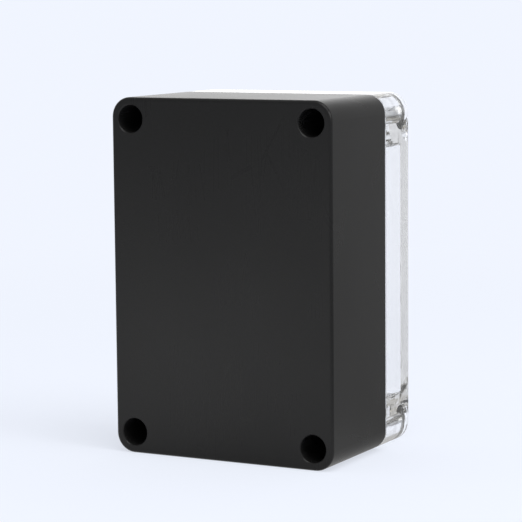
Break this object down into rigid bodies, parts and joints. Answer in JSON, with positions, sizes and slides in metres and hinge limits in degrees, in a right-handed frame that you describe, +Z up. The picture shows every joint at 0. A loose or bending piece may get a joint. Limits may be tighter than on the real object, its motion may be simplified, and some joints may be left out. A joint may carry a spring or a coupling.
{
  "type": "plastic project box",
  "caption": "Moulded plastic box for electronics: an opaque tray with corner pillars, closed by a clear lid held by long recessed screws over a gasket.",
  "frame": {"origin": "centre of the footprint of the box standing upright on its lower short end", "axes": "+Z up along the long sides, -Y out of the clear lid, +Y out of the mounting face, +X to the right as seen from the lid"},
  "size_m": [0.068, 0.05, 0.1],
  "materials": {
    "tray_plastic": "fine spark-textured black ABS, satin",
    "clear_plastic": "polished clear polycarbonate",
    "gasket_rubber": "matt grey silicone",
    "screw_steel": "bright stainless steel"
  },
  "bodies": {
    "base": {"base_shell": "tray_plastic", "lid_gasket": "gasket_rubber"},
    "lid": {"clear_lid": "clear_plastic"},
    "screw_top_left": {"lid_screw_top_left": "screw_steel"},
    "screw_top_right": {"lid_screw_top_right": "screw_steel"},
    "screw_bottom_left": {"lid_screw_bottom_left": "screw_steel"},
    "screw_bottom_right": {"lid_screw_bottom_right": "screw_steel"}
  },
  "joints": [
    {"name": "lid_lift", "type": "slide", "parent": "base", "child": "lid", "axis": [0, -1, 0], "range_m": [0, 0.03]},
    {"name": "screw_top_left_turn", "type": "hinge", "parent": "lid", "child": "screw_top_left", "pos_m": [-0.028, -0.0229, 0.094], "axis": [0, -1, 0], "continuous": true},
    {"name": "screw_top_right_turn", "type": "hinge", "parent": "lid", "child": "screw_top_right", "pos_m": [0.028, -0.0229, 0.094], "axis": [0, -1, 0], "continuous": true},
    {"name": "screw_bottom_left_turn", "type": "hinge", "parent": "lid", "child": "screw_bottom_left", "pos_m": [-0.028, -0.0229, 0.006], "axis": [0, -1, 0], "continuous": true},
    {"name": "screw_bottom_right_turn", "type": "hinge", "parent": "lid", "child": "screw_bottom_right", "pos_m": [0.028, -0.0229, 0.006], "axis": [0, -1, 0], "continuous": true}
  ]
}
